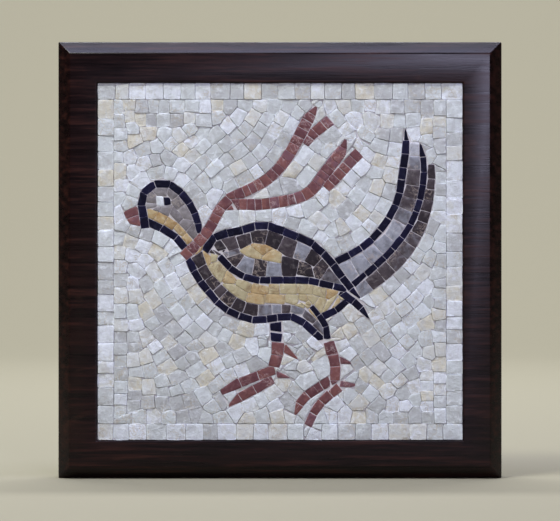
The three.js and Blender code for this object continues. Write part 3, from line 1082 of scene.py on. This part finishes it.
def woodFinish():
    # a fine-grained wood stained dark wine brown, its grain running across, under satin varnish
    finish = Finish("dark_wood", roughness=0.3, specular=0.23)
    bands = finish.noise(34, detail=2, stretch=(0.14, 1, 1), warp=0.6)
    streaks = finish.noise(300, detail=4, roughness=0.7, stretch=(0.05, 1, 1))
    pores = finish.noise(1500, detail=2, stretch=(0.04, 1, 1))
    worn = finish.noise(60, detail=4, roughness=0.6, stretch=(0.5, 1, 1), warp=0.8)
    colour = finish.ramp(streaks, ((0.34, (0.0022, 0.0006, 0.0009)), (0.5, (0.0062, 0.0016, 0.0018)),
                                   (0.68, (0.030, 0.0082, 0.0058))))
    colour = finish.mix(finish.between(bands, 0.48, 0.68, 0, 0.5), colour, (0.019, 0.0056, 0.0046))
    colour = finish.mix(finish.between(worn, 0.62, 0.75, 0, 0.5), colour, (0.045, 0.016, 0.010))
    colour = finish.mix(finish.between(pores, 0.56, 0.7, 0, 0.7), colour, (0.0016, 0.0007, 0.0009))
    ridges = finish.maths("MULTIPLY", streaks, 0.8)
    pits = finish.maths("MULTIPLY", pores, -0.6)
    finish.bump(finish.maths("ADD", ridges, pits), 0.4, 0.14 * mm)
    return finish.finish(colour, finish.between(streaks, 0.25, 0.75, 0.22, 0.38))


finishes = {kind: stoneFinish(kind, facts) for kind, facts in stoneKinds.items()}
finishes["lime_mortar"] = mortarFinish()
finishes["dark_wood"] = woodFinish()
print("finishes mixed:", len(finishes))

stoneTree = buildStoneTree()
laidCount = 0
for piece, facts in picture.items():
    holder = cartoonOf(piece)
    laidCount += len(holder.data.polygons)
    layStones(holder, stoneTree, finishes[facts["slot"]], facts.get("form", {}))
    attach(holder, "root")
    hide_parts(*facts["beds"])
bpy.data.node_groups.remove(stoneTree)
print("stones laid:", laidCount)

mortar = {
    "step": 0.9 * mm,
    "underFigure": 0.34 * mm,       # how far it stays below the faces of the figure's stones
    "underGround": 0.9 * mm,        # and below those of the white ground
    "flushEarly": 2.5,              # how soon it rises to the figure's depth beside it
    "bottomEdge": 0.51 * mm,        # along the lower edge, where it has gathered
    "roll": 0.06 * mm,
}


def mortarFill():
    # it stands nearly flush between the figure's stones and lower in the ground
    figure = ~np.isin(bedMap, [bedNames.index(name) for name in plainBeds])
    near = softened(figure[::4, ::4].astype(float), rounds=2)
    low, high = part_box("mortar_bed")
    across = round((high.x - low.x) / mortar["step"])
    up = round((high.z - low.z) / mortar["step"])
    verts, faces = [], []
    for j in range(up + 1):
        for i in range(across + 1):
            row = min(int(j / up * near.shape[0]), near.shape[0] - 1)
            col = min(int(i / across * near.shape[1]), near.shape[1] - 1)
            flush = min(1.0, near[row, col] * mortar["flushEarly"])
            below = mortar["underGround"] + (mortar["underFigure"] - mortar["underGround"]) * flush
            below += mortar["roll"] * chance.uniform(-0.5, 0.5)
            if j <= 1:
                below = mortar["bottomEdge"]
            verts.append((low.x + i * (high.x - low.x) / across, faceLevel + below,
                          low.z + j * (high.z - low.z) / up))
    wide = across + 1
    for j in range(up):
        for i in range(across):
            a = j * wide + i
            faces.append((a, a + 1, a + 1 + wide, a + wide))
    rim = list(range(wide))
    rim += [j * wide + across for j in range(1, up + 1)]
    rim += [up * wide + i for i in range(across - 1, -1, -1)]
    rim += [j * wide for j in range(up - 1, 0, -1)]
    first = len(verts)
    verts += [(verts[i][0], high.y, verts[i][2]) for i in rim]
    for k in range(len(rim)):
        n = (k + 1) % len(rim)
        faces.append((rim[k], first + k, first + n, rim[n]))
    faces.append(tuple(first + k for k in reversed(range(len(rim)))))
    mesh = bpy.data.meshes.new("mortarFill")
    mesh.from_pydata(verts, [], faces)
    mesh.polygons.foreach_set("use_smooth", [True] * len(mesh.polygons))
    mesh.materials.append(finishes["lime_mortar"])
    fill = bpy.data.objects.new("mortarFill", mesh)
    bpy.context.collection.objects.link(fill)
    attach(fill, "root")
    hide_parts("mortar_bed")


mortarFill()
print("mortar filled in")

board = {"arris": 1.3 * mm, "arrisSteps": 5}


def softenBoard():
    # the board with its sharp edges sanded
    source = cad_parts["wooden_board"]
    mesh = source.data.copy()
    mesh.name = "sandedBoard"
    piece = bpy.data.objects.new("sandedBoard", mesh)
    bpy.context.collection.objects.link(piece)
    welded = bmesh.new()
    welded.from_mesh(mesh)
    bmesh.ops.remove_doubles(welded, verts=welded.verts, dist=0.01 * mm)
    bmesh.ops.dissolve_limit(welded, angle_limit=math.radians(1), verts=welded.verts, edges=welded.edges)
    welded.to_mesh(mesh)
    welded.free()
    bevel = piece.modifiers.new("arris", "BEVEL")
    bevel.width = board["arris"]
    bevel.segments = board["arrisSteps"]
    bevel.limit_method = "ANGLE"
    bevel.angle_limit = math.radians(25)
    plainCopy(piece, "sandedBoard")
    piece.data.materials.clear()
    piece.data.materials.append(finishes["dark_wood"])
    piece.data.shade_smooth()
    piece.data.set_sharp_from_angle(angle=math.radians(20))
    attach(piece, "root")
    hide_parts("wooden_board")


softenBoard()
print("board sanded")

stage = {
    "radius": 2.8,
    "sweep": 1.2,           # radius of the curve from floor to wall
    "wall": 3.2,
    "wallSpread": 0.6,      # how far round the wall stands
    "wallSlope": 2.2,       # how fast it falls away at its ends
    "gap": 0.05 * mm,       # under the board
    "colour": (0.27, 0.253, 0.178),
    "steps": 12,            # in the curve
    "sides": 96,            # all the way round
}


def stageFinish():
    finish = Finish("paleFloor", roughness=0.85, specular=0.2)
    finish.shader.inputs["Base Color"].default_value = (*stage["colour"], 1)
    return finish.material


def buildStage():
    # a round pale floor whose far side curves up into a wall
    level = boardLow.z - stage["gap"]
    profile = [(0.0, 0.0), (stage["radius"] - stage["sweep"], 0.0)]
    for i in range(1, stage["steps"] + 1):
        turn = math.pi / 2 * i / stage["steps"]
        profile.append((stage["radius"] - stage["sweep"] + stage["sweep"] * math.sin(turn),
                        stage["sweep"] * (1 - math.cos(turn))))
    profile.append((stage["radius"], stage["wall"]))
    around = stage["sides"]
    verts = [(0.0, 0.0, level)]
    for i in range(around):
        turn = 2 * math.pi * i / around
        # the wall stands behind only, so that nothing pale is mirrored in the varnish
        raised = min(1.0, max(0.0, math.sin(turn) * stage["wallSlope"] + stage["wallSpread"]))
        for radius, height in profile[1:]:
            verts.append((radius * math.cos(turn), radius * math.sin(turn), level + height * raised))
    rings = len(profile) - 1
    faces = []
    for i in range(around):
        a, b = 1 + i * rings, 1 + (i + 1) % around * rings
        faces.append((0, a, b))
        for j in range(rings - 1):
            faces.append((a + j, a + j + 1, b + j + 1, b + j))
    mesh = bpy.data.meshes.new("paleFloor")
    mesh.from_pydata(verts, [], faces)
    mesh.polygons.foreach_set("use_smooth", [True] * len(mesh.polygons))
    mesh.materials.append(stageFinish())
    floor = bpy.data.objects.new("paleFloor", mesh)
    bpy.context.collection.objects.link(floor)


lamps = {
    "overhead": {"place": (-0.56, -0.6, 1.12), "aim": (0, 0, 0), "size": (0.43, 0.3), "power": 15.2,
                 "colour": (0.96, 0.98, 0.92)},
    "skylight": {"place": (0, -0.27, 1.2), "aim": (0, 0, 0), "size": (1.4, 0.36), "power": 13,
                 "colour": (0.66, 0.68, 1.0)},
    "window": {"place": (0.35, -1.25, 0.38), "aim": (0, 0, 0), "size": (0.35, 0.35), "power": 6.8,
               "colour": (0.75, 0.72, 1.0)},
    "backdrop": {"place": (0, 0.6, 1.9), "aim": (0, 2.6, 0.2), "size": (1.6, 0.6), "power": 108,
                 "colour": (0.875, 0.89, 1.0)},
}
room = {"colour": (0.9, 0.92, 1.0), "strength": 0.05}


def hangLamps():
    for name, facts in lamps.items():
        lamp = bpy.data.lights.new(name, "AREA")
        lamp.shape = "RECTANGLE"
        lamp.size, lamp.size_y = facts["size"]
        lamp.energy = facts["power"]
        lamp.color = facts["colour"]
        holder = bpy.data.objects.new(name, lamp)
        holder.location = facts["place"]
        way = Vector(facts["aim"]) - Vector(facts["place"])
        holder.rotation_euler = way.to_track_quat("-Z", "Y").to_euler()
        bpy.context.collection.objects.link(holder)


def fillRoom():
    # the faint light that comes from all round
    world = bpy.data.worlds.new("studio")
    world.use_nodes = True
    background = world.node_tree.nodes["Background"]
    background.inputs["Color"].default_value = (*room["colour"], 1)
    background.inputs["Strength"].default_value = room["strength"]
    bpy.context.scene.world = world
    bpy.context.scene.view_settings.view_transform = "Standard"


buildStage()
hangLamps()
fillRoom()
print("stage lit")
